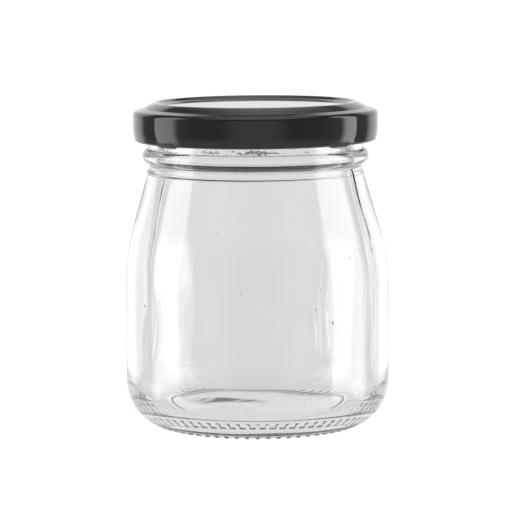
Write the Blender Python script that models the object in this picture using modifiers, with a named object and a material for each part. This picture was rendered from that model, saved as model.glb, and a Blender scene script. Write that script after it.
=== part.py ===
"""A small glass jar with rounded shoulders, closed by a pressed steel twist-off lid.

Units are metres and +Z is up. The origin is the centre of the base, on the surface the jar
stands on. The jar is empty: its inside is open up to the underside of the lid.
"""

import math

import bmesh
import bpy
from mathutils import Matrix

MM = 0.001

# The jar's driving sizes
BODY_RADIUS = 36.15 * MM
BODY_TOP = 38.0 * MM
WALL = 2.4 * MM
SHOULDER_SLOPE = math.radians(16.3)
SLOPE_END_RADIUS = 29.05 * MM
SLOPE_END_HEIGHT = 70.3 * MM
NECK_RADIUS = 29.05 * MM
NECK_HEIGHT = 70.5 * MM
BEAD_FOOT = 71.4 * MM
BEAD_HEIGHT = 3.9 * MM
BEAD_DEPTH = 1.75 * MM
FINISH_RADIUS = 29.3 * MM
MOUTH_RADIUS = 26.7 * MM
RIM_RADIUS = 28.7 * MM
RIM_HEIGHT = 86.4 * MM
RIM_ROUNDING = 1.4 * MM
RIM_CHAMFER = 0.9 * MM

# The base: heel, bearing ring, pushed-up underside and inner floor
HEEL_HEIGHT = 12.6 * MM
HEEL_FOOT_RADIUS = 27.2 * MM
HEEL_FOOT_HEIGHT = 0.5 * MM
BEARING_OUTER = 26.4 * MM
BEARING_INNER = 24.9 * MM
PUSH_UP_EDGE = 0.7 * MM
PUSH_UP_RISE = 0.95 * MM
FLOOR_RADIUS = 24.5 * MM
FLOOR_HEIGHT = 3.5 * MM
FLOOR_CROWN = 0.3 * MM
INNER_HEEL_HEIGHT = 10.5 * MM

# The knurls pressed in the underside of the heel, just outside the bearing ring
KNURLS = 64
KNURL_RING = 28.0 * MM
KNURL_LENGTH = 3.2 * MM
KNURL_WIDTH = 1.9 * MM
KNURL_HEIGHT = 1.5 * MM
KNURL_LIFT = 0.05 * MM

# The four slanted threads on the finish, which the lid's lugs turn under
THREADS = 4
THREAD_RADIUS = 0.8 * MM
THREAD_REACH = 0.75 * MM
THREAD_START = 78.3 * MM
THREAD_RISE = 2.0 * MM
THREAD_SWEEP = math.radians(58)
THREAD_STEPS = 8

# The lid's driving sizes
LID_RADIUS = 33.3 * MM
LID_BOTTOM = 77.4 * MM
LID_TOP = 87.9 * MM
SHEET = 0.5 * MM
STEP_RADIUS = 30.3 * MM
STEP_HEIGHT = 86.4 * MM
STEP_FALL = 0.5 * MM
STEP_ROUNDING = 1.35 * MM
CREST_RADIUS = 27.4 * MM
CREST_POWER = 1.2
PANEL_RADIUS = 25.2 * MM
PANEL_HEIGHT = 87.05 * MM
TAPER_HEIGHT = 81.5 * MM
TAPER = 0.35 * MM
CURL_RADIUS = 0.8 * MM

LUGS = 4
LUG_ANGLE = math.radians(-46.5)
LUG_WIDTH = 6.3 * MM
LUG_INNER = 30.9 * MM
LUG_OUTER = 32.5 * MM
LUG_BOTTOM = 76.95 * MM
LUG_TOP = 77.9 * MM
LUG_EDGE = 0.2 * MM

# How finely the round shapes are cut
SEGMENTS = 64
LID_SEGMENTS = 48
HEEL_STEPS = 7
SHOULDER_STEPS = 4
BEAD_STEPS = 7
RIM_STEPS = 5
CREST_STEPS = 4
ROUNDING_STEPS = 3
UNDERSIDE_STEPS = 3
CURL_SIDES = 8
SMOOTH_ANGLE = math.radians(35)
MERGE_DISTANCE = 0.00001


def clear_scene():
    """Removes whatever the file opened with."""
    for old in list(bpy.data.objects):
        bpy.data.objects.remove(old, do_unlink=True)


def new_collection(name):
    collection = bpy.data.collections.new(name)
    bpy.context.scene.collection.children.link(collection)
    return collection


def new_material(name, colour, roughness, metallic=0.0, transmission=0.0):
    """A plain Principled material with the part's own colour and gloss."""
    material = bpy.data.materials.new(name)
    material.use_nodes = True
    shader = material.node_tree.nodes["Principled BSDF"]
    shader.inputs["Base Color"].default_value = (*colour, 1.0)
    shader.inputs["Roughness"].default_value = roughness
    shader.inputs["Metallic"].default_value = metallic
    shader.inputs["Transmission Weight"].default_value = transmission
    material.diffuse_color = (*colour, 1.0)
    return material


def arc(centre, reach, start, end, steps):
    """Points on an ellipse about centre, from one angle to another, in degrees from +R."""
    points = []
    for step in range(steps + 1):
        angle = math.radians(start + (end - start) * step / steps)
        points.append((
            centre[0] + reach[0] * math.cos(angle),
            centre[1] + reach[1] * math.sin(angle),
        ))
    return points


def shoulder(body_radius, neck_radius):
    """The shoulder, top to bottom: a straight slope from the neck, then a large round to the body.

    The round leaves the upright wall at BODY_TOP and meets the slope as a tangent, so its
    radius follows from where the slope has to arrive.
    """
    slope = SHOULDER_SLOPE
    drop = neck_radius + (SLOPE_END_HEIGHT - BODY_TOP) * math.tan(slope) - body_radius
    radius = drop / (math.cos(slope) - 1 + math.sin(slope) * math.tan(slope))
    centre = (body_radius - radius, BODY_TOP)
    return arc(centre, (radius, radius), math.degrees(slope), 0, SHOULDER_STEPS)


def bead():
    """The rounded transfer bead under the finish, top to bottom."""
    centre = (NECK_RADIUS, BEAD_FOOT + BEAD_HEIGHT / 2)
    return arc(centre, (BEAD_DEPTH, BEAD_HEIGHT / 2), 90, -90, BEAD_STEPS)


def heel():
    """The quarter ellipse from the body down to its foot, then the step to the bearing ring."""
    centre = (HEEL_FOOT_RADIUS, HEEL_HEIGHT)
    reach = (BODY_RADIUS - HEEL_FOOT_RADIUS, HEEL_HEIGHT - HEEL_FOOT_HEIGHT)
    return arc(centre, reach, 0, -90, HEEL_STEPS) + [(BEARING_OUTER, 0.0)]


def underside():
    """The pushed-up underside, a low dome inside the bearing ring, ending on the axis."""
    points = [(BEARING_INNER, 0.0)]
    edge = BEARING_INNER - PUSH_UP_EDGE
    for step in range(UNDERSIDE_STEPS + 1):
        share = step / UNDERSIDE_STEPS
        height = PUSH_UP_EDGE + (PUSH_UP_RISE - PUSH_UP_EDGE) * math.sin(share * math.pi / 2)
        points.append((edge * (1 - share), height))
    return points


def inner_floor():
    """The inside floor from the axis out, slightly crowned, and the round up to the wall."""
    inner_radius = BODY_RADIUS - WALL
    points = [
        (0.0, FLOOR_HEIGHT + FLOOR_CROWN),
        (FLOOR_RADIUS / 2, FLOOR_HEIGHT + FLOOR_CROWN * 0.75),
    ]
    centre = (FLOOR_RADIUS, FLOOR_HEIGHT + INNER_HEEL_HEIGHT)
    reach = (inner_radius - FLOOR_RADIUS, INNER_HEEL_HEIGHT)
    return points + arc(centre, reach, -90, 0, HEEL_STEPS)


def jar_outline():
    """Half the jar's section: up the inside, over the rim, down the outside and under the base."""
    rim_foot = RIM_HEIGHT - RIM_ROUNDING
    rim_centre = ((MOUTH_RADIUS + RIM_RADIUS) / 2, rim_foot)
    rim_reach = ((RIM_RADIUS - MOUTH_RADIUS) / 2, RIM_ROUNDING)
    slope_radius = SLOPE_END_RADIUS + (SLOPE_END_HEIGHT - NECK_HEIGHT) * math.tan(SHOULDER_SLOPE)
    inside = shoulder(BODY_RADIUS - WALL, SLOPE_END_RADIUS - WALL)
    inside.reverse()
    return (
        inner_floor()
        + inside
        + [(MOUTH_RADIUS, SLOPE_END_HEIGHT + WALL)]
        + arc(rim_centre, rim_reach, 180, 0, RIM_STEPS)
        + [(FINISH_RADIUS, rim_foot - RIM_CHAMFER)]
        + [(FINISH_RADIUS, BEAD_FOOT + BEAD_HEIGHT)]
        + bead()
        + [(slope_radius, NECK_HEIGHT)]
        + shoulder(BODY_RADIUS, SLOPE_END_RADIUS)
        + heel()
        + underside()
    )


def lid_outline():
    """The outer face of the lid's sheet, from the middle of the panel to the foot of the skirt."""
    points = [(0.0, PANEL_HEIGHT)]
    for step in range(CREST_STEPS):
        share = step / CREST_STEPS
        radius = PANEL_RADIUS + (CREST_RADIUS - PANEL_RADIUS) * share
        rise = (LID_TOP - PANEL_HEIGHT) * (1 - math.cos(share * math.pi)) / 2
        points.append((radius, PANEL_HEIGHT + rise))
    for step in range(CREST_STEPS + 1):
        share = step / CREST_STEPS
        radius = CREST_RADIUS + (STEP_RADIUS - CREST_RADIUS) * share
        points.append((radius, LID_TOP - (LID_TOP - STEP_HEIGHT) * share ** CREST_POWER))
    rounding_centre = (LID_RADIUS - STEP_ROUNDING, STEP_HEIGHT - STEP_FALL - STEP_ROUNDING)
    points += arc(rounding_centre, (STEP_ROUNDING, STEP_ROUNDING), 80, 0, ROUNDING_STEPS)
    points.append((LID_RADIUS, TAPER_HEIGHT))
    points.append((LID_RADIUS - TAPER, LID_BOTTOM + CURL_RADIUS))
    return points


def distinct(outline):
    """The outline without points that repeat the one before them."""
    kept = [outline[0]]
    for point in outline[1:]:
        if math.dist(point, kept[-1]) > MERGE_DISTANCE:
            kept.append(point)
    return kept


def turned(name, outline, segments, closed=False):
    """An object whose outline of (radius, height) points is turned once round Z."""
    points = distinct(outline)
    edges = [(index, index + 1) for index in range(len(points) - 1)]
    if closed:
        edges.append((len(points) - 1, 0))
    mesh = bpy.data.meshes.new(name)
    mesh.from_pydata([(radius, 0.0, height) for radius, height in points], edges, [])
    made = bpy.data.objects.new(name, mesh)
    screw = made.modifiers.new("Turn", "SCREW")
    screw.axis = "Z"
    screw.steps = segments
    screw.render_steps = segments
    screw.use_merge_vertices = True
    screw.merge_threshold = MERGE_DISTANCE
    screw.use_smooth_shade = True
    return made


def knurl_mesh():
    """One knurl: a low rounded ridge that points outwards from the axis, along +X."""
    shape = bmesh.new()
    size = Matrix.Diagonal((KNURL_LENGTH / 2, KNURL_WIDTH / 2, KNURL_HEIGHT / 2, 1.0))
    bmesh.ops.create_uvsphere(shape, u_segments=6, v_segments=4, radius=1.0, matrix=size)
    mesh = bpy.data.meshes.new("knurl")
    shape.to_mesh(mesh)
    shape.free()
    return mesh


def add_knurls(helpers):
    """Rings the base with knurls, halfway between the turned body's edges."""
    mesh = knurl_mesh()
    for index in range(KNURLS):
        angle = 2 * math.pi * (index + 0.5) / KNURLS
        knurl = bpy.data.objects.new(f"knurl_{index:02d}", mesh)
        knurl.location = (
            KNURL_RING * math.cos(angle),
            KNURL_RING * math.sin(angle),
            KNURL_LIFT + KNURL_HEIGHT / 2,
        )
        knurl.rotation_euler = (0.0, 0.0, angle)
        helpers.objects.link(knurl)


def add_threads(helpers):
    """Lays the slanted threads round the finish, each a rod half sunk in the glass."""
    for index in range(THREADS):
        start = LUG_ANGLE - math.pi / 2 + 2 * math.pi * index / THREADS
        rod = bpy.data.curves.new("thread", "CURVE")
        rod.dimensions = "3D"
        rod.bevel_depth = THREAD_RADIUS
        rod.bevel_resolution = 1
        rod.use_fill_caps = True
        path = rod.splines.new("POLY")
        path.points.add(THREAD_STEPS)
        for step, point in enumerate(path.points):
            share = step / THREAD_STEPS
            angle = start + THREAD_SWEEP * (share - 0.5)
            radius = FINISH_RADIUS - THREAD_RADIUS + THREAD_REACH * math.sin(share * math.pi) ** 0.5
            height = THREAD_START + THREAD_RISE * share
            point.co = (radius * math.cos(angle), radius * math.sin(angle), height, 1.0)
        source = bpy.data.objects.new(f"thread_curve_{index}", rod)
        helpers.objects.link(source)
        helpers.objects.link(as_mesh(source, f"thread_{index}"))
        bpy.data.objects.remove(source)


def as_mesh(source, name):
    """A mesh object with the source's evaluated shape, its loose caps welded on."""
    depsgraph = bpy.context.evaluated_depsgraph_get()
    mesh = bpy.data.meshes.new_from_object(source.evaluated_get(depsgraph))
    shape = bmesh.new()
    shape.from_mesh(mesh)
    bmesh.ops.remove_doubles(shape, verts=shape.verts, dist=MERGE_DISTANCE)
    bmesh.ops.recalc_face_normals(shape, faces=shape.faces)
    shape.to_mesh(mesh)
    shape.free()
    made = bpy.data.objects.new(name, mesh)
    made.matrix_world = source.matrix_world.copy()
    return made


def add_lugs(helpers):
    """Presses the lugs in from the curled edge, each a short tongue with eased edges."""
    for index in range(LUGS):
        angle = LUG_ANGLE - math.pi / 2 + 2 * math.pi * index / LUGS
        shape = bmesh.new()
        size = Matrix.Diagonal((LUG_OUTER - LUG_INNER, LUG_WIDTH, LUG_TOP - LUG_BOTTOM, 1.0))
        bmesh.ops.create_cube(shape, size=1.0, matrix=size)
        bmesh.ops.bevel(
            shape, geom=shape.edges, offset=LUG_EDGE, segments=1, affect="EDGES", profile=0.5
        )
        mesh = bpy.data.meshes.new(f"lug_{index}")
        shape.to_mesh(mesh)
        shape.free()
        lug = bpy.data.objects.new(f"lug_{index}", mesh)
        middle = (LUG_INNER + LUG_OUTER) / 2
        lug.location = (
            middle * math.cos(angle),
            middle * math.sin(angle),
            (LUG_BOTTOM + LUG_TOP) / 2,
        )
        lug.rotation_euler = (0.0, 0.0, angle)
        helpers.objects.link(lug)


def join_all(target, helpers):
    """Fuses every object of the helpers collection to the target and removes them."""
    union = target.modifiers.new("Join", "BOOLEAN")
    union.operation = "UNION"
    union.solver = "EXACT"
    union.operand_type = "COLLECTION"
    union.collection = helpers
    bpy.context.view_layer.update()
    depsgraph = bpy.context.evaluated_depsgraph_get()
    joined = bpy.data.meshes.new_from_object(target.evaluated_get(depsgraph))
    target.modifiers.clear()
    target.data = joined
    for helper in list(helpers.objects):
        bpy.data.objects.remove(helper)


def finish(target, name, material):
    """Names the piece, gives it its material and smooths its round faces."""
    target.name = name
    target.data.name = name
    target.data.materials.clear()
    target.data.materials.append(material)
    target.data.shade_smooth()
    target.data.set_sharp_from_angle(angle=SMOOTH_ANGLE)


def make_jar(parts, helpers):
    jar = turned("jar", jar_outline(), SEGMENTS)
    parts.objects.link(jar)
    add_knurls(helpers)
    add_threads(helpers)
    join_all(jar, helpers)
    finish(jar, "jar", new_material("clear_glass", (0.93, 0.96, 0.94), 0.02, transmission=1.0))


def make_lid(parts, helpers):
    lid = turned("lid", lid_outline(), LID_SEGMENTS)
    wall = lid.modifiers.new("Sheet", "SOLIDIFY")
    wall.thickness = SHEET
    wall.offset = -1.0
    wall.use_even_offset = True
    parts.objects.link(lid)
    centre = (LID_RADIUS - TAPER - CURL_RADIUS - MM / 10, LID_BOTTOM + CURL_RADIUS)
    ring = arc(centre, (CURL_RADIUS, CURL_RADIUS), 0, -360, CURL_SIDES)[:-1]
    helpers.objects.link(turned("curl", ring, LID_SEGMENTS, closed=True))
    add_lugs(helpers)
    join_all(lid, helpers)
    finish(lid, "lid", new_material("black_lacquer", (0.012, 0.012, 0.013), 0.12))


def main():
    clear_scene()
    parts = new_collection("pudding_jar")
    helpers = new_collection("pudding_jar_helpers")
    helpers.hide_render = True
    make_jar(parts, helpers)
    make_lid(parts, helpers)


main()
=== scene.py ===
# %% [markdown]
# # A pudding jar: clear glass and a black twist-off lid
#
# The real thing is an empty pressed-glass jar, about 88 mm tall, under a lacquered steel cap.
# The CAD frame already fixes where everything is and how big. This lesson dresses it: the
# glass gets a fine surface with its unevenness, knurls and seeds, and the lid gets its rolled
# edge, lugs and lacquer. Everything is in metres, with +Z up and the jar standing on z = 0.

# %% Load the frame
import math

import bpy
import numpy as np
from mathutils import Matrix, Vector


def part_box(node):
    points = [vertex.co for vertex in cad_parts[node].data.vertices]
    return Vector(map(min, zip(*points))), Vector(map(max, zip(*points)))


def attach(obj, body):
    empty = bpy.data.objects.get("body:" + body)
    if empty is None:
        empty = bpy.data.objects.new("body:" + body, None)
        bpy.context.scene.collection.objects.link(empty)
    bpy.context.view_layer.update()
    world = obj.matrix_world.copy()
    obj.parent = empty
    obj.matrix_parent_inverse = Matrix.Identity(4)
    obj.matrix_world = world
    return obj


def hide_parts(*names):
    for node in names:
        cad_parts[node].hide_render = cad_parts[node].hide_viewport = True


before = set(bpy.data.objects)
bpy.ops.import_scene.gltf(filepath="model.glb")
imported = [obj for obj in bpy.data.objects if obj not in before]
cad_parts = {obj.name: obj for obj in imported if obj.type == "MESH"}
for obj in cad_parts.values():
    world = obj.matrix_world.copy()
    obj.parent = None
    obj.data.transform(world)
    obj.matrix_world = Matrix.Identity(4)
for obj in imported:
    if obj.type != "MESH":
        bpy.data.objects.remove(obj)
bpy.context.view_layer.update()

jar_low, jar_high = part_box("jar")
lid_low, lid_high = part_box("lid")

# %% [markdown]
# ## Measures
#
# A few sizes come straight from the frame, so the dressed jar can't drift from the CAD one:
# the widest radius of the body, the lid's radius, its top and its lowest point. The others are
# sizes of the moulding itself, given once here in millimetres times MM.

# %% Sizes of the jar and the lid
MM = 0.001
BODY_RADIUS = jar_high[0]
LID_RADIUS = lid_high[0]
LID_TOP = lid_high[2]

WALL = 2.4 * MM
BODY_TOP = 38.0 * MM
SHOULDER_SLOPE = math.radians(16.3)
SLOPE_END_RADIUS = 29.05 * MM
SLOPE_END_HEIGHT = 70.3 * MM
NECK_RADIUS = 29.05 * MM
NECK_HEIGHT = 70.5 * MM
BEAD_FOOT = 71.4 * MM
BEAD_HEIGHT = 3.9 * MM
BEAD_DEPTH = 1.75 * MM
FINISH_RADIUS = 29.3 * MM
MOUTH_RADIUS = 26.7 * MM
RIM_RADIUS = 28.7 * MM
RIM_HEIGHT = 86.4 * MM
RIM_ROUNDING = 1.4 * MM
RIM_CHAMFER = 0.9 * MM

HEEL_HEIGHT = 12.6 * MM
HEEL_FOOT_RADIUS = 27.2 * MM
HEEL_FOOT_HEIGHT = 0.5 * MM
BEARING_OUTER = 26.4 * MM
BEARING_INNER = 24.9 * MM
PUSH_UP_EDGE = 0.7 * MM
PUSH_UP_RISE = 0.95 * MM
PUSH_UP_POWER = 9
FLOOR_RADIUS = 24.5 * MM
FLOOR_HEIGHT = 3.5 * MM
FLOOR_CROWN = 0.3 * MM
INNER_HEEL_HEIGHT = 10.5 * MM
print("body radius", round(BODY_RADIUS / MM, 2), "mm, lid radius", round(LID_RADIUS / MM, 2), "mm")

# %% [markdown]
# ## Outlines as arrays
#
# A turned shape is half a section carried round the axis. The section is a chain of points,
# each a (radius, height) pair, built from elliptical arcs and straight runs. Glass has no
# knife edges, because the surface is soft when it leaves the mould, so the finished chain is
# resampled at even steps and averaged over a fraction of a millimetre, which rounds every
# crease by the same small amount.

# %% Helpers for outlines
FINE_STEP = 0.08 * MM


def arc(centre, reach, start, end, count=24):
    """Points centre + reach * (cos a, sin a), with a running from start to end in degrees."""
    angle = np.radians(np.linspace(start, end, count))
    return np.column_stack([
        centre[0] + reach[0] * np.cos(angle),
        centre[1] + reach[1] * np.sin(angle),
    ])


def evenly(points, step):
    """The chain cut again at equal distances along it: each coordinate read off by length."""
    length = np.concatenate([[0.0], np.cumsum(np.hypot(*np.diff(points, axis=0).T))])
    places = np.linspace(0.0, length[-1], int(length[-1] / step) + 1)
    return np.column_stack([np.interp(places, length, points[:, axis]) for axis in (0, 1)])


def softened(points, reach):
    """Each point replaced by a bell-weighted mean of its neighbours within reach, ends kept."""
    chain = evenly(points, FINE_STEP)
    half = int(reach / FINE_STEP)
    bell = np.hanning(2 * half + 3)[1:-1]
    bell /= bell.sum()
    padded = np.concatenate([
        2 * chain[0] - chain[half:0:-1],
        chain,
        2 * chain[-1] - chain[-2:-half - 2:-1],
    ])
    mixed = np.column_stack([np.convolve(padded[:, axis], bell, "valid") for axis in (0, 1)])
    return mixed


def chosen_rows(chain, count, longest, busy=0.0):
    """count points of a fine chain, closer together where it turns or where busy is high.

    The measure grows by length / longest, plus the turning in radians times a weight, plus
    busy per metre. The rows are at equal steps of that measure.
    """
    turning_weight = 9.0
    step = np.diff(chain, axis=0)
    length = np.hypot(*step.T)
    heading = np.unwrap(np.arctan2(step[:, 1], step[:, 0]))
    turning = np.abs(np.gradient(heading))
    middle = (chain[1:] + chain[:-1]) / 2
    extra = busy(middle) if callable(busy) else busy
    measure = np.concatenate([[0.0], np.cumsum(length / longest + turning_weight * turning + extra * length)])
    wanted = np.linspace(0.0, measure[-1], count)
    return np.column_stack([np.interp(wanted, measure, chain[:, axis]) for axis in (0, 1)])


# %% [markdown]
# ## The jar's section
#
# The chain starts on the axis at the inside floor, goes up the inside, over the rim, down
# past the finish and the bead, along the shoulder and body, round the heel, and ends on the
# axis under the pushed-up base. The shoulder is a straight slope joined to the wall by one
# large round: its radius follows from where the slope must arrive at the neck.


# %% Section of the glass
def shoulder(body_radius, neck_radius):
    """Top to bottom: the point where the slope starts, then a round of the radius that fits."""
    slope = SHOULDER_SLOPE
    drop = neck_radius + (SLOPE_END_HEIGHT - BODY_TOP) * math.tan(slope) - body_radius
    radius = drop / (math.cos(slope) - 1 + math.sin(slope) * math.tan(slope))
    return arc((body_radius - radius, BODY_TOP), (radius, radius), math.degrees(slope), 0)


def glass_section():
    """The whole chain, from the middle of the inside floor to the middle of the underside."""
    inner_radius = BODY_RADIUS - WALL
    rim_foot = RIM_HEIGHT - RIM_ROUNDING
    crown = np.linspace(0.0, 0.9, 8)
    floor = np.column_stack([FLOOR_RADIUS * crown, FLOOR_HEIGHT + FLOOR_CROWN * (1 - crown ** 2)])
    inner_heel = arc(
        (FLOOR_RADIUS, FLOOR_HEIGHT + INNER_HEEL_HEIGHT),
        (inner_radius - FLOOR_RADIUS, INNER_HEEL_HEIGHT), -90, 0,
    )
    rim = arc(
        ((MOUTH_RADIUS + RIM_RADIUS) / 2, rim_foot),
        ((RIM_RADIUS - MOUTH_RADIUS) / 2, RIM_ROUNDING), 180, 0,
    )
    bead = arc((NECK_RADIUS, BEAD_FOOT + BEAD_HEIGHT / 2), (BEAD_DEPTH, BEAD_HEIGHT / 2), 90, -90)
    slope_radius = SLOPE_END_RADIUS + (SLOPE_END_HEIGHT - NECK_HEIGHT) * math.tan(SHOULDER_SLOPE)
    heel = arc(
        (HEEL_FOOT_RADIUS, HEEL_HEIGHT),
        (BODY_RADIUS - HEEL_FOOT_RADIUS, HEEL_HEIGHT - HEEL_FOOT_HEIGHT), 0, -90,
    )
    dome = np.linspace(0.0, 1.0, 40)
    underside = np.column_stack([
        (BEARING_INNER - PUSH_UP_EDGE) * (1 - dome),
        PUSH_UP_EDGE + (PUSH_UP_RISE - PUSH_UP_EDGE) * (1 - (1 - dome) ** PUSH_UP_POWER),
    ])
    return np.concatenate([
        floor,
        inner_heel,
        shoulder(inner_radius, SLOPE_END_RADIUS - WALL)[::-1],
        [(MOUTH_RADIUS, SLOPE_END_HEIGHT + WALL)],
        rim,
        [(FINISH_RADIUS, rim_foot - RIM_CHAMFER), (FINISH_RADIUS, BEAD_FOOT + BEAD_HEIGHT)],
        bead,
        [(NECK_RADIUS, BEAD_FOOT), (slope_radius, NECK_HEIGHT)],
        shoulder(BODY_RADIUS, SLOPE_END_RADIUS),
        heel,
        [(BEARING_OUTER, 0.0), (BEARING_INNER, 0.0)],
        underside,
    ])


POLISH = 0.28 * MM
section = softened(glass_section(), POLISH)
print("section length", round(len(section) * FINE_STEP / MM), "mm")

# %% [markdown]
# ## From section to surface
#
# A grid of (row, column) is bent into the solid: the row walks along the section and the
# column goes round the axis. Both ends of the section lie on the axis, so each end is one
# shared point with a fan of triangles round it, which closes the pole. All positions are
# worked out as whole arrays before Blender sees them.


# %% A closed turned surface
def closed_turn(name, radius, height, angle):
    """A mesh from arrays of shape (rows, columns): point = (radius cos a, radius sin a, height).

    The first and last rows shrink to one point each on the axis. Rows run so that the outside
    is walked downwards, which makes every face point out of the material.
    """
    rows, columns = radius.shape
    inside = slice(1, rows - 1)
    ring_radius = radius[inside]
    points = np.stack([
        ring_radius * np.cos(angle), ring_radius * np.sin(angle), height[inside],
    ], axis=-1).reshape(-1, 3)
    first = (0.0, 0.0, float(height[0].mean()))
    last = (0.0, 0.0, float(height[-1].mean()))
    points = np.concatenate([points, [first, last]])
    index = np.arange((rows - 2) * columns).reshape(rows - 2, columns)
    beside = np.roll(index, -1, axis=1)
    quads = np.stack([index[:-1], index[1:], beside[1:], beside[:-1]], axis=-1).reshape(-1, 4)
    first_index = len(points) - 2
    last_index = len(points) - 1
    opening_fan = np.stack([np.full(columns, first_index), index[0], beside[0]], axis=-1)
    closing_fan = np.stack([index[-1], np.full(columns, last_index), beside[-1]], axis=-1)
    mesh = bpy.data.meshes.new(name)
    faces = quads.tolist() + opening_fan.tolist() + closing_fan.tolist()
    mesh.from_pydata(points.tolist(), [], faces)
    mesh.shade_smooth()
    made = bpy.data.objects.new(name, mesh)
    bpy.context.scene.collection.objects.link(made)
    print(name, len(points), "points,", 2 * len(quads) + 2 * columns, "triangles")
    return made


# %% [markdown]
# ## Unevenness, knurls and threads
#
# Pressed glass is never a perfect turned shape. The plunger leaves the inside slightly wavy
# and the mould leaves the outside almost true, which is what bends the straight edges of the
# reflections. A few smooth waves with fixed random phases do this. The knurls are 64 small
# ridges just outside the bearing ring, which keep the hot base off the conveyor, and the four
# slanted threads on the finish are what the lid's lugs turn under.

# %% Waves, knurls and threads as height fields
COLUMNS = 512
ROWS = 180
KNURLS = 64
KNURL_RING = 28.1 * MM
KNURL_REACH = 1.9 * MM
KNURL_HEIGHT = 0.62 * MM
THREADS = 4
THREAD_MIDDLE = 79.3 * MM
THREAD_RISE_PER_TURN = 12.4 * MM
THREAD_SWEEP = math.radians(29)
THREAD_HALF_WIDTH = 1.1 * MM
THREAD_DEPTH = 0.72 * MM
LUG_ANGLE = math.radians(-46.5 - 90)
INNER_WAVE = 0.80 * MM
WAVIEST_ANGLE = math.radians(52.0)
LEFT_WAVE = 0.35
OUTER_WAVE = 0.12 * MM
PARTING_HEIGHT = 69.1 * MM
PARTING_REACH = 0.24 * MM
PARTING_RIDGE = 0.42 * MM
SEAM_ANGLES = np.radians([-28.0, 152.0])
SEAM_REACH = 0.50 * MM
SEAM_RIDGE = 0.30 * MM
SEAM_WOBBLE = 0.35 * MM
SEAM_WOBBLE_LENGTH = 13.0 * MM
SEAM_COLUMNS = 21
BASE_LINE_HEIGHT = 1.35 * MM
BASE_LINE_REACH = 0.42 * MM
BASE_LINE_RIDGE = 0.32 * MM
FLOOR_LINE_HEIGHT = 4.6 * MM
FLOOR_LINE_REACH = 0.3 * MM
FLOOR_LINE_DEPTH = 0.03 * MM
DIMPLE_PLACE = (-8.0 * MM, -9.0 * MM)
DIMPLE_RADIUS = 14.0 * MM
DIMPLE_DEPTH = 0.75 * MM
PEBBLE_DEPTH = 0.030 * MM
NECK_SHIFT = -0.33 * MM
FLOW_MARKS = [
    # heights in mm, angles in degrees at those heights, half width in mm, depth in mm
    ((26.5, 33.6, 46.5), (42.0, 50.0, 69.5), 2.4, 0.55),
    ((15.0, 26.5, 36.0), (61.8, 61.3, 54.5), 1.4, 0.36),
    ((11.0, 23.5, 34.0), (48.8, 51.5, 47.0), 1.2, -0.30),
    ((14.0, 29.0, 47.0), (43.0, 46.0, 40.5), 1.4, 0.34),
    ((17.0, 24.0, 31.0), (57.0, 56.0, 52.0), 1.1, -0.26),
]


def waves(angle, height, seed, count=7, longest=52 * MM, shortest=13 * MM):
    """A sum of sines in angle and height, of fixed random phases, with height about one.

    Each term is sin(k * angle + 2 pi * height / length + phase), with k a whole number so that
    the field closes on itself.
    """
    draw = np.random.default_rng(seed)
    field = np.zeros(np.broadcast(angle, height).shape)
    for term in range(count):
        turns = int(draw.integers(2, 14))
        length = draw.uniform(shortest, longest)
        phase = draw.uniform(0, 2 * math.pi)
        field += np.sin(turns * angle + 2 * math.pi * height / length + phase) / (1 + 0.25 * term)
    return field / math.sqrt(count)


def bump(value, reach):
    """A smooth hump: one at zero, falling as a squared cosine to nothing at plus or minus reach."""
    share = np.clip(np.abs(value) / reach, 0, 1)
    return np.cos(share * math.pi / 2) ** 2


def knurl_field(angle, radius):
    """64 rounded ridges: the positive half of a cosine in angle, times a hump across the ring."""
    ridge = np.clip(np.cos(KNURLS * angle) * 1.15 + 0.1, 0, 1) ** 0.7
    return ridge * bump(radius - KNURL_RING, KNURL_REACH) ** 0.6


def thread_field(angle, height):
    """Four slanted ridges: each is a hump about a helix, faded out at both of its ends."""
    turn = (angle - LUG_ANGLE + math.pi / THREADS) % (2 * math.pi / THREADS) - math.pi / THREADS
    line = THREAD_MIDDLE + THREAD_RISE_PER_TURN * turn / (2 * math.pi)
    along = np.clip((THREAD_SWEEP - np.abs(turn)) / math.radians(7), 0, 1)
    return bump(height - line, THREAD_HALF_WIDTH) * along * along * (3 - 2 * along)


def seam_field(angle, radius, height):
    """Ridges left where the mould's halves met: humps across SEAM_ANGLES, body height only."""
    field = 0.0
    for seam in SEAM_ANGLES:
        across = (angle - seam + math.pi) % (2 * math.pi) - math.pi
        wobble = SEAM_WOBBLE * np.sin(2 * math.pi * height / SEAM_WOBBLE_LENGTH)
        field = field + bump(across * BODY_RADIUS - wobble, SEAM_REACH)
    fading = 0.12 + 0.88 * np.clip((height - 40 * MM) / (10 * MM), 0, 1)
    return field * fading * np.clip((height - 6 * MM) / (8 * MM), 0, 1) * (height < NECK_HEIGHT)


def pebble_field(angle, height):
    """Grain of the finish above the bead: a random number at each point, more on the left."""
    draw = np.random.default_rng(9)
    grain = draw.uniform(-1, 1, np.broadcast(angle, height).shape)
    more_left = 0.75 - 0.35 * np.cos(angle)
    return grain * more_left * bump(height - BEAD_FOOT - BEAD_HEIGHT - 0.9 * MM, 1.5 * MM)


def dimple_field(angle, radius):
    """A shallow round hollow in the underside, off the middle, left by the plunger."""
    across = radius * np.cos(angle) - DIMPLE_PLACE[0]
    along = radius * np.sin(angle) - DIMPLE_PLACE[1]
    return bump(np.hypot(across, along), DIMPLE_RADIUS)


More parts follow.
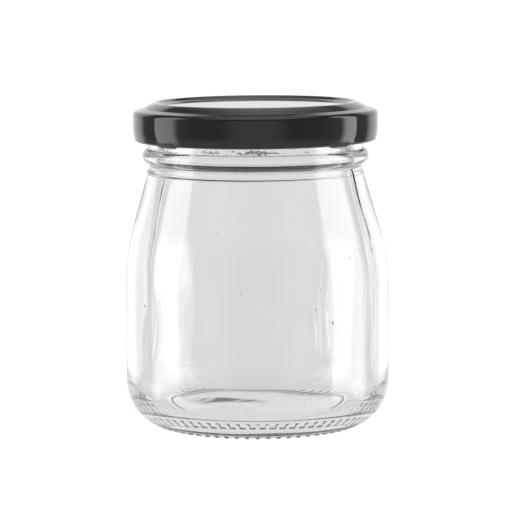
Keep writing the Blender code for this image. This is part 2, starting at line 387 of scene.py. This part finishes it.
def mark_field(angle, height):
    """Shallow creases left in the inside by glass that flowed together, each along its own line.

    The line is an angle interpolated over height, and the crease a hump across it, faded out
    over the last millimetres at both of its ends.
    """
    field = 0.0
    for heights, degrees, reach, depth in FLOW_MARKS:
        line = np.radians(np.interp(height / MM, heights, degrees))
        inside = np.minimum(height / MM - heights[0], heights[-1] - height / MM)
        ends = np.clip(inside / 4 + 0.5, 0, 1)
        field = field + depth * MM * ends * bump((angle - line) * BODY_RADIUS, reach * MM)
    return field


def busy_rows(points):
    """Rows wanted per metre beyond what turning asks for: on the knurls and the fine ridges."""
    radius, height = points.T
    outer = radius > MOUTH_RADIUS + 1.2 * MM
    knurled = (height < 3 * MM) & (np.abs(radius - KNURL_RING) < 2.2 * MM)
    threaded = (np.abs(height - THREAD_MIDDLE) < 3.2 * MM) & outer
    parted = (np.abs(height - PARTING_HEIGHT) < PARTING_REACH) & outer
    pebbled = (np.abs(height - BEAD_FOOT - BEAD_HEIGHT - MM) < 1.4 * MM) & outer
    based = (np.abs(height - BASE_LINE_HEIGHT) < BASE_LINE_REACH) & (radius > BEARING_OUTER + MM)
    lined = (np.abs(height - FLOOR_LINE_HEIGHT) < FLOOR_LINE_REACH) & (radius < 31 * MM) & ~knurled
    necked = (height > 63 * MM) & (height < 75 * MM)
    return (necked * 0.9 + knurled * 1.8 + threaded * 1.2 + parted * 16 + pebbled * 2 + lined * 8 + based * 9) / MM


def glass_columns():
    """Angles all the way round, at even steps, with more of them across the two seams."""
    even = np.linspace(0, 2 * math.pi, COLUMNS, endpoint=False)
    across = np.linspace(-1, 1, SEAM_COLUMNS) * (SEAM_REACH + SEAM_WOBBLE) / BODY_RADIUS
    extra = (SEAM_ANGLES[:, None] + across[None, :]).ravel()
    return np.unique(np.concatenate([even, extra % (2 * math.pi)]))[None, :]


def glass_surface():
    rows = chosen_rows(section, ROWS, 2.6 * MM, busy_rows)
    angle = glass_columns()
    count = angle.size
    radius = np.repeat(rows[:, :1], count, axis=1)
    height = np.repeat(rows[:, 1:], count, axis=1)
    order = np.arange(ROWS)[:, None]
    outside = order > int(np.argmax(rows[:, 1]))
    under = order > int(np.argmin(rows[:, 1] + (rows[:, 0] < BEARING_OUTER) * MM * 0.01))
    free = np.clip(radius / (12 * MM), 0, 1) * np.clip((RIM_HEIGHT - 3 * MM - height) / (8 * MM), 0, 1)
    above_base = np.clip((height - 3 * MM) / (12 * MM), 0, 1)
    right_side = (1 + np.cos(angle)) / 2
    left_side = 1 - right_side
    above_floor = np.clip((height - 8 * MM) / (9 * MM), 0, 1)
    calm_top = 1 - 0.75 * np.clip((height - 44 * MM) / (12 * MM), 0, 1)
    waviest = ((1 + np.cos(angle - WAVIEST_ANGLE)) / 2) ** 6
    inner = INNER_WAVE * waves(angle, height, seed=11) * free
    inner = inner * (0.15 + 0.85 * waviest + LEFT_WAVE * left_side)
    calm_sides = np.sin(angle) ** 2
    inner = inner * above_floor * calm_top * calm_sides + mark_field(angle, height)
    inner = inner - FLOOR_LINE_DEPTH * bump(height - FLOOR_LINE_HEIGHT, FLOOR_LINE_REACH)
    outer = OUTER_WAVE * waves(angle, height, seed=5, longest=34 * MM) * free * above_base * (0.5 + 0.5 * right_side) * calm_sides
    outer = outer - 0.06 * MM * above_base * free
    outer = outer + THREAD_DEPTH * thread_field(angle, height) * (radius > MOUTH_RADIUS + MM)
    outer = outer + PARTING_RIDGE * bump(height - PARTING_HEIGHT, PARTING_REACH) * (0.25 + 0.75 * left_side)
    outer = outer + SEAM_RIDGE * seam_field(angle, radius, height)
    outer = outer + BASE_LINE_RIDGE * bump(height - BASE_LINE_HEIGHT, BASE_LINE_REACH) * (radius > BEARING_OUTER)
    outer = outer + PEBBLE_DEPTH * pebble_field(angle, height)
    moved = radius + np.where(outside, outer, inner)
    knurls = knurl_field(angle, radius) * outside * (height < 4 * MM) * ~under
    lowered = np.maximum(height - KNURL_HEIGHT * knurls, 0.0)
    lowered = lowered + DIMPLE_DEPTH * dimple_field(angle, radius) * under * (radius < BEARING_INNER)
    return closed_turn("jar_glass", moved, lowered, angle)


def lean(target, start, end, shift):
    """Moves a mesh along X by shift times a smooth step of height between start and end."""
    points = np.empty(len(target.data.vertices) * 3)
    target.data.vertices.foreach_get("co", points)
    points = points.reshape(-1, 3)
    share = np.clip((points[:, 2] - start) / (end - start), 0, 1)
    points[:, 0] += shift * share * share * (3 - 2 * share)
    target.data.vertices.foreach_set("co", points.ravel())
    target.data.update()


glass = glass_surface()

# %% [markdown]
# ## Seeds in the glass
#
# Cheap container glass keeps a few tiny bubbles, called seeds. Each is a hollow inside the
# wall, so its faces must point into the hollow, away from the glass. They join the jar's mesh,
# because they are part of the same surface between glass and air.

# %% Seeds
SEED_PLACES = [
    # angle round the jar in degrees, height in mm, half length in mm
    (-147.5, 34.5, 0.36),
    (-56, 31.4, 0.40),
    (-97, 40.0, 0.24),
    (-120, 52.0, 0.20),
    (-62, 40.4, 0.22),
    (-64, 35.3, 0.24),
    (-45, 47.8, 0.28),
    (-165, 20.0, 0.16),
    (70, 30.0, 0.22),
    (110, 47.0, 0.18),
    (20, 24.0, 0.20),
    (160, 41.0, 0.24),
]


def add_seeds(target):
    """Small ellipsoids in the middle of the wall: a grid of two angles, turned inside out."""
    around = np.linspace(0, 2 * math.pi, 10, endpoint=False)
    down = np.linspace(0, math.pi, 8)
    points = [np.array([vertex.co for vertex in target.data.vertices])]
    faces = [list(face.vertices) for face in target.data.polygons]
    for degrees, height_mm, half_mm in SEED_PLACES:
        middle_radius = BODY_RADIUS - WALL / 2
        if height_mm * MM > BODY_TOP:
            middle_radius -= (height_mm * MM - BODY_TOP) ** 2 / (118 * MM)
        turn = math.radians(degrees)
        centre = np.array([middle_radius * math.cos(turn), middle_radius * math.sin(turn), height_mm * MM])
        half = half_mm * MM
        ring = np.stack([
            0.8 * half * np.outer(np.sin(down[1:-1]), np.cos(around)),
            0.8 * half * np.outer(np.sin(down[1:-1]), np.sin(around)),
            half * np.outer(np.cos(down[1:-1]), np.ones(10)),
        ], axis=-1).reshape(-1, 3)
        shape = np.concatenate([ring, [(0, 0, half), (0, 0, -half)]]) + centre
        base = sum(len(block) for block in points)
        index = np.arange(60).reshape(6, 10) + base
        beside = np.roll(index, -1, axis=1)
        quads = np.stack([index[:-1], beside[:-1], beside[1:], index[1:]], axis=-1).reshape(-1, 4)
        top = np.stack([np.full(10, base + 60), beside[0], index[0]], axis=-1)
        foot = np.stack([index[-1], beside[-1], np.full(10, base + 61)], axis=-1)
        points.append(shape)
        faces += quads.tolist() + top.tolist() + foot.tolist()
    mesh = bpy.data.meshes.new(target.name)
    mesh.from_pydata(np.concatenate(points).tolist(), [], faces)
    mesh.shade_smooth()
    target.data = mesh
    print("seeds", len(SEED_PLACES))


add_seeds(glass)
lean(glass, BODY_TOP, NECK_HEIGHT, NECK_SHIFT)

# %% [markdown]
# ## The lid's section
#
# The cap is pressed from one sheet: a flat panel, a raised crest that hides the sealing
# channel, a step, a rounded shoulder, an upright skirt and an edge rolled inwards. The
# inside face is the outside one moved in by the sheet's thickness along its own normal.

# %% Section of the lid
SHEET = 0.5 * MM
LID_BOTTOM = 77.4 * MM
STEP_RADIUS = 30.3 * MM
STEP_HEIGHT = 86.4 * MM
STEP_FALL = 0.5 * MM
STEP_ROUNDING = 1.35 * MM
CREST_RADIUS = 27.4 * MM
CREST_POWER = 1.2
PANEL_RADIUS = 25.2 * MM
TAPER_HEIGHT = 81.5 * MM
TAPER = 0.35 * MM
PANEL_HEIGHT = 87.05 * MM
CURL_RADIUS = 0.8 * MM
LID_COLUMNS = 476
CURL_ROWS = 22
LUG_HALF_WIDTH = 3.15 * MM
LUG_EASE = 0.8 * MM
LUG_CENTRE = (31.75 * MM, 77.5 * MM)
LUG_REACH = (0.85 * MM, 0.53 * MM)


def lid_face():
    """The outer face, from the panel's middle to the foot of the skirt."""
    share = np.linspace(0, 1, 20)
    rise = (LID_TOP - PANEL_HEIGHT) * (1 - np.cos(share * math.pi)) / 2
    bank = np.column_stack([PANEL_RADIUS + (CREST_RADIUS - PANEL_RADIUS) * share, PANEL_HEIGHT + rise])
    fall = (LID_TOP - STEP_HEIGHT) * share ** CREST_POWER
    crest = np.column_stack([CREST_RADIUS + (STEP_RADIUS - CREST_RADIUS) * share, LID_TOP - fall])
    rounding_centre = (LID_RADIUS - STEP_ROUNDING, STEP_HEIGHT - STEP_FALL - STEP_ROUNDING)
    rounding = arc(rounding_centre, (STEP_ROUNDING, STEP_ROUNDING), 80, 0)
    foot_height = LID_BOTTOM + CURL_RADIUS
    taper = np.column_stack([
        LID_RADIUS - TAPER * share ** 2, TAPER_HEIGHT + (foot_height - TAPER_HEIGHT) * share,
    ])
    return np.concatenate([[(0.0, PANEL_HEIGHT)], bank, crest[1:], rounding, taper])


def moved_in(chain, distance):
    """The chain moved to its right-hand side, which is into the sheet, along its normals."""
    heading = np.gradient(chain, axis=0)
    heading /= np.hypot(*heading.T)[:, None]
    return chain + distance * np.column_stack([heading[:, 1], -heading[:, 0]])


def lid_surface():
    face = softened(lid_face(), 0.2 * MM)
    face[:, 0] = np.minimum(face[:, 0], LID_RADIUS)
    outer = chosen_rows(face, 96, 1.6 * MM)
    inner = moved_in(outer, SHEET)[::-1]
    inner = inner[(inner[:, 1] > LID_BOTTOM + 2.2 * CURL_RADIUS) | (inner[:, 0] < MOUTH_RADIUS)]
    inner[-1, 0] = 0.0
    curl_centre = (LID_RADIUS - TAPER - CURL_RADIUS, LID_BOTTOM + CURL_RADIUS)
    curl = arc(curl_centre, (CURL_RADIUS, CURL_RADIUS), 0, -215, CURL_ROWS)
    rows = np.concatenate([outer[:-1], curl, inner])
    angle = np.linspace(0, 2 * math.pi, LID_COLUMNS, endpoint=False)[None, :]
    radius = np.repeat(rows[:, :1], LID_COLUMNS, axis=1)
    height = np.repeat(rows[:, 1:], LID_COLUMNS, axis=1)
    quarter = math.pi / THREADS
    turn = (angle - LUG_ANGLE + quarter) % (2 * quarter) - quarter
    inside_lug = (LUG_HALF_WIDTH - np.abs(turn) * LUG_CENTRE[0]) / LUG_EASE + 0.5
    weight = np.clip(inside_lug, 0, 1)
    weight = weight * weight * (3 - 2 * weight)
    first = len(outer) - 1
    curl_rows = slice(first, first + CURL_ROWS)
    tongue = arc(LUG_CENTRE, LUG_REACH, 0, -215, CURL_ROWS)
    eased = np.clip(np.linspace(0, 1, CURL_ROWS) * 5, 0, 1)[:, None]
    blend = weight * eased
    radius[curl_rows] += (tongue[:, :1] - radius[curl_rows]) * blend
    height[curl_rows] += (tongue[:, 1:] - height[curl_rows]) * blend
    return closed_turn("lid_cap", radius, height, angle)


def tilt(target, degrees, height):
    """Tips a mesh about the Y axis through height: z grows by x times the tangent."""
    points = np.empty(len(target.data.vertices) * 3)
    target.data.vertices.foreach_get("co", points)
    points = points.reshape(-1, 3)
    turn = math.radians(degrees)
    across = points[:, 0].copy()
    above = points[:, 2] - height
    points[:, 0] = across * math.cos(turn) - above * math.sin(turn)
    points[:, 2] = height + across * math.sin(turn) + above * math.cos(turn)
    target.data.vertices.foreach_set("co", points.ravel())
    target.data.update()


LID_TILT = 0.25
cap = lid_surface()
tilt(cap, LID_TILT, (LID_BOTTOM + LID_TOP) / 2)
lean(cap, 0.0, LID_BOTTOM - MM, NECK_SHIFT)

# %% [markdown]
# ## Shader maths that reads like maths
#
# Blender's materials are graphs. The small class below wraps one output socket, so that
# `0.3 + 0.1 * noise` adds the two Math nodes by itself. Anything that isn't a sum goes
# through one `node` method, which sets a node's options first and its sockets second.


# %% A tiny shader language
class Value:
    """A number that varies over the surface: one output socket, with operators that add nodes."""

    def __init__(self, graph, socket):
        self.graph = graph
        self.socket = socket

    def combine(self, operation, left, right):
        return self.graph.node("ShaderNodeMath", {"operation": operation}, {0: left, 1: right})

    def __add__(self, other):
        return self.combine("ADD", self, other)

    def __sub__(self, other):
        return self.combine("SUBTRACT", self, other)

    def __rsub__(self, other):
        return self.combine("SUBTRACT", other, self)

    def __mul__(self, other):
        return self.combine("MULTIPLY", self, other)

    def __truediv__(self, other):
        return self.combine("DIVIDE", self, other)

    __radd__ = __add__
    __rmul__ = __mul__


class Graph:
    """The node tree of one material or world, emptied and ready for new nodes."""

    def __init__(self, owner):
        owner.use_nodes = True
        self.tree = owner.node_tree
        self.tree.nodes.clear()

    def node(self, kind, settings=None, inputs=None, output=0):
        """Adds a node, sets its options, then its sockets, and returns one of its outputs."""
        made = self.tree.nodes.new(kind)
        for name, value in (settings or {}).items():
            setattr(made, name, value)
        for name, value in (inputs or {}).items():
            socket = made.inputs[name]
            if isinstance(value, Value):
                self.tree.links.new(value.socket, socket)
            else:
                socket.default_value = value
        return Value(self, made.outputs[output]) if len(made.outputs) else made

    def parts(self, vector):
        """The three numbers of a vector."""
        split = self.tree.nodes.new("ShaderNodeSeparateXYZ")
        self.tree.links.new(vector.socket, split.inputs[0])
        return [Value(self, socket) for socket in split.outputs]

    def smooth(self, value, low, high, start=0.0, end=1.0):
        """Start below low, end above high, and a smooth step between."""
        return self.node(
            "ShaderNodeMapRange", {"interpolation_type": "SMOOTHSTEP"},
            {"Value": value, "From Min": low, "From Max": high, "To Min": start, "To Max": end},
        )

    def noise(self, place, scale, detail=2.0, roughness=0.5):
        return self.node(
            "ShaderNodeTexNoise", {},
            {"Vector": place, "Scale": scale, "Detail": detail, "Roughness": roughness},
        )

    def mix_colour(self, share, first, second):
        made = self.tree.nodes.new("ShaderNodeMix")
        made.data_type = "RGBA"
        self.tree.links.new(share.socket, made.inputs["Factor"])
        for place, colour in ((6, first), (7, second)):
            if isinstance(colour, Value):
                self.tree.links.new(colour.socket, made.inputs[place])
            else:
                made.inputs[place].default_value = (*colour, 1.0)
        return Value(self, made.outputs[2])


# %% [markdown]
# ## Clear glass
#
# Container glass is colourless in a thin wall and faintly green where light has a long way
# to go through it, as in the base. So the surface has almost no colour and the tint is in
# the volume, as an absorption. The skin has a very slight ripple from the mould, which a
# bump does, and a trace of haze that changes over centimetres.


# %% Glass material
def glass_material():
    material = bpy.data.materials.new("clear_glass")
    graph = Graph(material)
    place = graph.node("ShaderNodeTexCoord", output=3)
    broad = graph.noise(place, 55.0)
    fine = graph.noise(place, 420.0, detail=3.0)
    skin = graph.mix_colour(broad, (0.985, 0.99, 0.985), (1.0, 1.0, 1.0))
    ripple = graph.node(
        "ShaderNodeBump", {}, {"Strength": 0.05, "Distance": 0.0006, "Height": broad + 0.06 * fine},
    )
    surface = graph.node("ShaderNodeBsdfPrincipled", {}, {
        "Base Color": skin,
        "Roughness": 0.0,
        "IOR": 1.52,
        "Transmission Weight": 1.0,
        "Normal": ripple,
    })
    tint = graph.node("ShaderNodeVolumeAbsorption", {}, {"Color": (0.72, 0.80, 0.70, 1.0), "Density": 16.0})
    graph.node("ShaderNodeOutputMaterial", {}, {"Surface": surface, "Volume": tint})
    return material


glass.data.materials.append(glass_material())
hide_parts("jar")
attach(glass, "root")

# %% [markdown]
# ## Black lacquer
#
# The cap is sprayed and baked, so its skin is hard, very glossy and almost black. Under a
# magnifier it isn't flat: it has a fine orange peel, and fingers and stacking leave slightly
# duller patches. The base is dark, a clear coat carries the sharp reflections, and noise
# changes the gloss a little from place to place.


# %% Lacquer material
def lacquer_material():
    material = bpy.data.materials.new("black_lacquer")
    graph = Graph(material)
    place = graph.node("ShaderNodeTexCoord", output=3)
    patches = graph.noise(place, 90.0, detail=4.0)
    peel = graph.noise(place, 1500.0, detail=2.0)
    colour = graph.mix_colour(patches, (0.0035, 0.0035, 0.004), (0.006, 0.006, 0.0065))
    gloss = 0.40 + 0.12 * patches
    orange_peel = graph.node("ShaderNodeBump", {}, {"Strength": 0.04, "Distance": 0.0002, "Height": peel})
    surface = graph.node("ShaderNodeBsdfPrincipled", {}, {
        "Base Color": colour,
        "Roughness": gloss,
        "IOR": 1.5,
        "Specular IOR Level": 0.1,
        "Coat Weight": 1.0,
        "Coat Roughness": 0.03,
        "Normal": orange_peel,
    })
    graph.node("ShaderNodeOutputMaterial", {}, {"Surface": surface})
    return material


cap.data.materials.append(lacquer_material())
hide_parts("lid")
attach(cap, "root")

# %% [markdown]
# ## A white studio
#
# Glass shows nothing but its surroundings, so the studio is half of its look. The picture
# has a white sweep behind, two upright soft boxes at the sides and a dimmer room in front.
# They are far away compared with the jar, so they are painted on the world by direction. The
# eye sees plain white where it looks past the jar. The floor is a pale disc that catches a
# faint shadow.

# %% World and floor
MIRRORED_BOXES = {"fade": 5.0, "left": (81.0, 108.5, 2.4), "right": (91.0, 109.0, 3.3)}
BOXES_SEEN_THROUGH = {"fade": 1.5, "left": (72.0, 104.0, 2.0), "right": (69.0, 109.0, 2.2)}
BOX_TOP = 46.0
BOX_FOOT = -20.0
BOX_EDGE = 1.5
BACKDROP_TOP = 26.0
MIRRORED_ROOM = {
    "back": 1.05, "centre": 1.08, "front": 0.75, "side": 0.36, "gap": 0.12,
    "ceiling": 0.08, "overhead": 1.6, "below": 0.8, "upper": 1.0,
}
SEEN_THROUGH = {
    "back": 1.08, "centre": 0.77, "front": 0.30, "side": 0.50, "gap": 0.30,
    "ceiling": 0.12, "overhead": 0.5, "below": 0.76, "upper": 0.0,
}
PLAIN_WHITE = 1.05


def window(graph, value, low, high, low_edge, high_edge):
    """One between low and high, nothing outside, with a smooth step of the given half widths."""
    rising = graph.smooth(value, low - low_edge, low + low_edge)
    return rising * graph.smooth(value, high - high_edge, high + high_edge, 1.0, 0.0)


def room(graph, degrees, rise, across, light):
    """The studio's level by direction: degrees from the camera's side, and rise above level."""
    middle = window(graph, across, -0.17, 0.24, 0.20, 0.20) * graph.smooth(degrees, 100.0, 150.0)
    sweep = graph.smooth(degrees, 126.0, 138.0)
    level = graph.smooth(degrees, 14.0, 34.0, light["front"], light["side"])
    level = level + graph.smooth(degrees, 80.0, 112.0, 0.0, light["gap"] - light["side"])
    back = graph.smooth(degrees, 167.0, 169.0, light["back"], light["centre"])
    level = level * (1 - sweep) + back * sweep
    high = graph.smooth(rise, BACKDROP_TOP, BACKDROP_TOP + 8.0)
    low = graph.smooth(rise, -24.0, -12.0, 1.0, 0.0)
    above = graph.smooth(rise, 48.0, 60.0) * graph.smooth(degrees, 80.0, 110.0, 1.0, 0.0)
    ceiling = light["ceiling"] + (light["overhead"] - light["ceiling"]) * above
    ceiling = ceiling + light["upper"] * window(graph, rise, 40.0, 74.0, 6.0, 3.0) * middle
    level = level * (1 - high) + ceiling * high
    return level * (1 - low) + light["below"] * low


def soft_boxes(graph, degrees, rise, across, boxes):
    """The two upright lights, each a window in degrees with one soft and one sharp edge."""
    right = graph.smooth(across, -0.001, 0.001)
    level = 0.0
    for share, (start, end, strength) in ((1 - right, boxes["left"]), (right, boxes["right"])):
        level = level + share * window(graph, degrees, start, end, boxes["fade"], BOX_EDGE) * strength
    return level * window(graph, rise, BOX_FOOT, BOX_TOP, 4.0, 4.0)


def studio_world():
    world = bpy.data.worlds.new("studio")
    bpy.context.scene.world = world
    graph = Graph(world)
    direction = graph.node("ShaderNodeTexCoord", output=0)
    across, away, up = graph.parts(direction)
    level_length = graph.node("ShaderNodeMath", {"operation": "SQRT"}, {0: across * across + away * away})
    around = graph.node("ShaderNodeMath", {"operation": "ARCCOSINE"}, {0: (0.0 - away) / level_length})
    degrees = around * (180 / math.pi)
    rise = graph.node("ShaderNodeMath", {"operation": "ARCSINE"}, {0: up}) * (180 / math.pi)
    mirrored = room(graph, degrees, rise, across, MIRRORED_ROOM)
    mirrored = mirrored + soft_boxes(graph, degrees, rise, across, MIRRORED_BOXES)
    clear = room(graph, degrees, rise, across, SEEN_THROUGH)
    clear = clear + soft_boxes(graph, degrees, rise, across, BOXES_SEEN_THROUGH)
    through = graph.node("ShaderNodeLightPath", output=4)
    seen = graph.node("ShaderNodeLightPath", output=0)
    strength = mirrored * (1 - through) + clear * through
    strength = strength * (1 - seen) + PLAIN_WHITE * seen
    light = graph.node("ShaderNodeBackground", {}, {"Color": (1.0, 1.0, 1.0, 1.0), "Strength": strength})
    graph.node("ShaderNodeOutputWorld", {}, {"Surface": light})


def pale_floor():
    angle = np.linspace(0, 2 * math.pi, 96, endpoint=False)
    radius = 0.8
    mesh = bpy.data.meshes.new("floor")
    rim = np.column_stack([radius * np.cos(angle), radius * np.sin(angle), np.zeros(96)])
    mesh.from_pydata(rim.tolist(), [], [list(range(96))])
    floor = bpy.data.objects.new("floor", mesh)
    bpy.context.scene.collection.objects.link(floor)
    material = bpy.data.materials.new("floor")
    graph = Graph(material)
    seen = graph.node("ShaderNodeLightPath", output=0)
    matte = graph.node("ShaderNodeBsdfDiffuse", {}, {"Color": (0.85, 0.85, 0.85, 1.0)})
    lift = graph.node("ShaderNodeEmission", {}, {"Strength": 0.85 * seen})
    both = graph.node("ShaderNodeAddShader", {}, {0: matte, 1: lift})
    graph.node("ShaderNodeOutputMaterial", {}, {"Surface": both})
    mesh.materials.append(material)
    floor.visible_glossy = False
    floor.visible_transmission = False
    return floor


studio_world()
pale_floor()

# %% [markdown]
# ## The camera
#
# The photograph looks slightly down at the jar from some 70 cm through a long lens, so the
# upright lines stay nearly parallel. The lid's curve is flatter than the base's, and the
# difference between the two fixes the distance.

# %% Camera
CAMERA_DISTANCE = 0.70
CAMERA_HEIGHT = 0.1326
CAMERA_PITCH = 7.09
CAMERA_ROLL = 0.2
CAMERA_LENS = 181.2


def set_camera():
    data = bpy.data.cameras.new("camera")
    data.lens = CAMERA_LENS
    data.sensor_width = 36.0
    camera = bpy.data.objects.new("camera", data)
    camera.location = (0.0, -CAMERA_DISTANCE, CAMERA_HEIGHT)
    camera.rotation_euler = (math.radians(90 - CAMERA_PITCH), math.radians(CAMERA_ROLL), 0.0)
    bpy.context.scene.collection.objects.link(camera)
    bpy.context.scene.camera = camera


set_camera()
bpy.context.scene.view_settings.view_transform = "Standard"

# %% [markdown]
# ## Enough bounces for glass
#
# Light that enters the thick base is thrown back and forth between its faces many times
# before it finds a way out. Cycles gives up after a dozen turns, and after four mirror-like
# ones, and paints what it gave up on black. Real glass has no such limit, so it's raised.

# %% Light paths
LONGEST_PATH = 32
MOST_MIRRORINGS = 20
paths = bpy.context.scene.cycles
paths.max_bounces = LONGEST_PATH
paths.glossy_bounces = MOST_MIRRORINGS
paths.transmission_bounces = LONGEST_PATH
print("bounces", paths.max_bounces)
